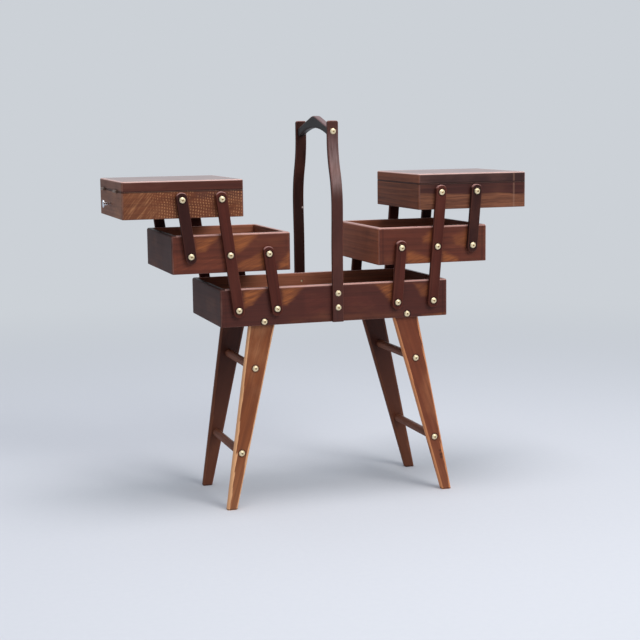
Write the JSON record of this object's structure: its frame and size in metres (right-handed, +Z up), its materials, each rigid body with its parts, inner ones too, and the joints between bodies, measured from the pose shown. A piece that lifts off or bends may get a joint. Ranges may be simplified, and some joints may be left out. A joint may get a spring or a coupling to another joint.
{
  "type": "sewing box",
  "caption": "Wooden cantilever sewing box on splayed legs with rungs: two trays and two lidded boxes fold out on screwed arms beside a carved carrying handle.",
  "frame": {"origin": "on the floor, under the middle of the base box", "axes": "+X along the box to its right end, +Y to the rear, +Z up"},
  "size_m": [0.7855, 0.244, 0.6999],
  "materials": {
    "wood_boards": "worn dark red-brown stain and satin varnish",
    "wood_panels": "dark stain, matt",
    "wood_arms": "dark maroon stain, satin varnish",
    "wood_legs": "warm brown stain worn along the edges",
    "wood_grip": "near black stain, satin",
    "brass_screws": "dulled brass plate",
    "brass_hinges": "aged brass",
    "knob_chrome": "bright"
  },
  "bodies": {
    "base": {"base_front_board": "wood_boards", "base_rear_board": "wood_boards", "base_left_board": "wood_boards", "base_right_board": "wood_boards", "base_panel": "wood_panels", "base_screws": "brass_screws", "front_left_leg": "wood_legs", "rear_left_leg": "wood_legs", "front_right_leg": "wood_legs", "rear_right_leg": "wood_legs", "rungs": "wood_legs", "handle_front_upright": "wood_arms", "handle_rear_upright": "wood_arms", "handle_grip": "wood_grip"},
    "left_long_arms": {"left_front_long_arm": "wood_arms", "left_rear_long_arm": "wood_arms"},
    "left_lower_arms": {"left_front_lower_arm": "wood_arms", "left_rear_lower_arm": "wood_arms"},
    "left_upper_arms": {"left_front_upper_arm": "wood_arms", "left_rear_upper_arm": "wood_arms"},
    "left_tray": {"left_tray_front_board": "wood_boards", "left_tray_rear_board": "wood_boards", "left_tray_outer_board": "wood_boards", "left_tray_inner_board": "wood_boards", "left_tray_panel": "wood_panels", "left_tray_screws": "brass_screws"},
    "left_box": {"left_box_front_board": "wood_boards", "left_box_rear_board": "wood_boards", "left_box_outer_board": "wood_boards", "left_box_inner_board": "wood_boards", "left_box_panel": "wood_panels", "left_box_screws": "brass_screws", "left_knob": "knob_chrome", "left_box_hinge_leaves": "brass_hinges"},
    "left_lid": {"left_lid_rails": "wood_boards", "left_lid_panel": "wood_boards", "left_lid_hinge_leaves": "brass_hinges"},
    "right_long_arms": {"right_front_long_arm": "wood_arms", "right_rear_long_arm": "wood_arms"},
    "right_lower_arms": {"right_front_lower_arm": "wood_arms", "right_rear_lower_arm": "wood_arms"},
    "right_upper_arms": {"right_front_upper_arm": "wood_arms", "right_rear_upper_arm": "wood_arms"},
    "right_tray": {"right_tray_front_board": "wood_boards", "right_tray_rear_board": "wood_boards", "right_tray_outer_board": "wood_boards", "right_tray_inner_board": "wood_boards", "right_tray_panel": "wood_panels", "right_tray_screws": "brass_screws"},
    "right_box": {"right_box_front_board": "wood_boards", "right_box_rear_board": "wood_boards", "right_box_outer_board": "wood_boards", "right_box_inner_board": "wood_boards", "right_box_panel": "wood_panels", "right_box_screws": "brass_screws", "right_knob": "knob_chrome", "right_box_hinge_leaves": "brass_hinges"},
    "right_lid": {"right_lid_rails": "wood_boards", "right_lid_panel": "wood_boards", "right_lid_hinge_leaves": "brass_hinges"}
  },
  "joints": [
    {"name": "left_arm_swing", "type": "hinge", "parent": "base", "child": "left_long_arms", "pos_m": [-0.184, 0, 0.3625], "axis": [0, 1, 0], "range_deg": [-38.03, 53.44]},
    {"name": "left_tray_pivot", "type": "hinge", "parent": "left_long_arms", "child": "left_tray", "pos_m": [-0.19726, 0, 0.46061], "axis": [0, 1, 0], "range_deg": [-53.44, 38.03]},
    {"name": "left_box_pivot", "type": "hinge", "parent": "left_long_arms", "child": "left_box", "pos_m": [-0.21053, 0, 0.55871], "axis": [0, 1, 0], "range_deg": [-53.44, 38.03]},
    {"name": "left_lower_arm_swing", "type": "hinge", "parent": "base", "child": "left_lower_arms", "pos_m": [-0.114, 0, 0.3625], "axis": [0, 1, 0], "range_deg": [-38.03, 53.44]},
    {"name": "left_upper_arm_swing", "type": "hinge", "parent": "left_tray", "child": "left_upper_arms", "pos_m": [-0.26726, 0, 0.46061], "axis": [0, 1, 0], "range_deg": [-38.03, 53.44]},
    {"name": "left_lid_swing", "type": "hinge", "parent": "left_box", "child": "left_lid", "pos_m": [-0.38592, 0, 0.57417], "axis": [0, -1, 0], "range_deg": [0, 165]},
    {"name": "right_arm_swing", "type": "hinge", "parent": "base", "child": "right_long_arms", "pos_m": [0.184, 0, 0.3625], "axis": [0, -1, 0], "range_deg": [-40.94, 50.53]},
    {"name": "right_tray_pivot", "type": "hinge", "parent": "right_long_arms", "child": "right_tray", "pos_m": [0.19228, 0, 0.46115], "axis": [0, -1, 0], "range_deg": [-50.53, 40.94]},
    {"name": "right_box_pivot", "type": "hinge", "parent": "right_long_arms", "child": "right_box", "pos_m": [0.20057, 0, 0.55981], "axis": [0, -1, 0], "range_deg": [-50.53, 40.94]},
    {"name": "right_lower_arm_swing", "type": "hinge", "parent": "base", "child": "right_lower_arms", "pos_m": [0.114, 0, 0.3625], "axis": [0, -1, 0], "range_deg": [-40.94, 50.53]},
    {"name": "right_upper_arm_swing", "type": "hinge", "parent": "right_tray", "child": "right_upper_arms", "pos_m": [0.26228, 0, 0.46115], "axis": [0, -1, 0], "range_deg": [-40.94, 50.53]},
    {"name": "right_lid_swing", "type": "hinge", "parent": "right_box", "child": "right_lid", "pos_m": [0.37596, 0, 0.57526], "axis": [0, 1, 0], "range_deg": [0, 165]}
  ],
  "couplings": [
    {"joint": "left_tray_pivot", "follows": "left_arm_swing", "ratio": -1},
    {"joint": "left_box_pivot", "follows": "left_arm_swing", "ratio": -1},
    {"joint": "left_lower_arm_swing", "follows": "left_arm_swing", "ratio": 1},
    {"joint": "left_upper_arm_swing", "follows": "left_arm_swing", "ratio": 1},
    {"joint": "right_tray_pivot", "follows": "right_arm_swing", "ratio": -1},
    {"joint": "right_box_pivot", "follows": "right_arm_swing", "ratio": -1},
    {"joint": "right_lower_arm_swing", "follows": "right_arm_swing", "ratio": 1},
    {"joint": "right_upper_arm_swing", "follows": "right_arm_swing", "ratio": 1}
  ]
}
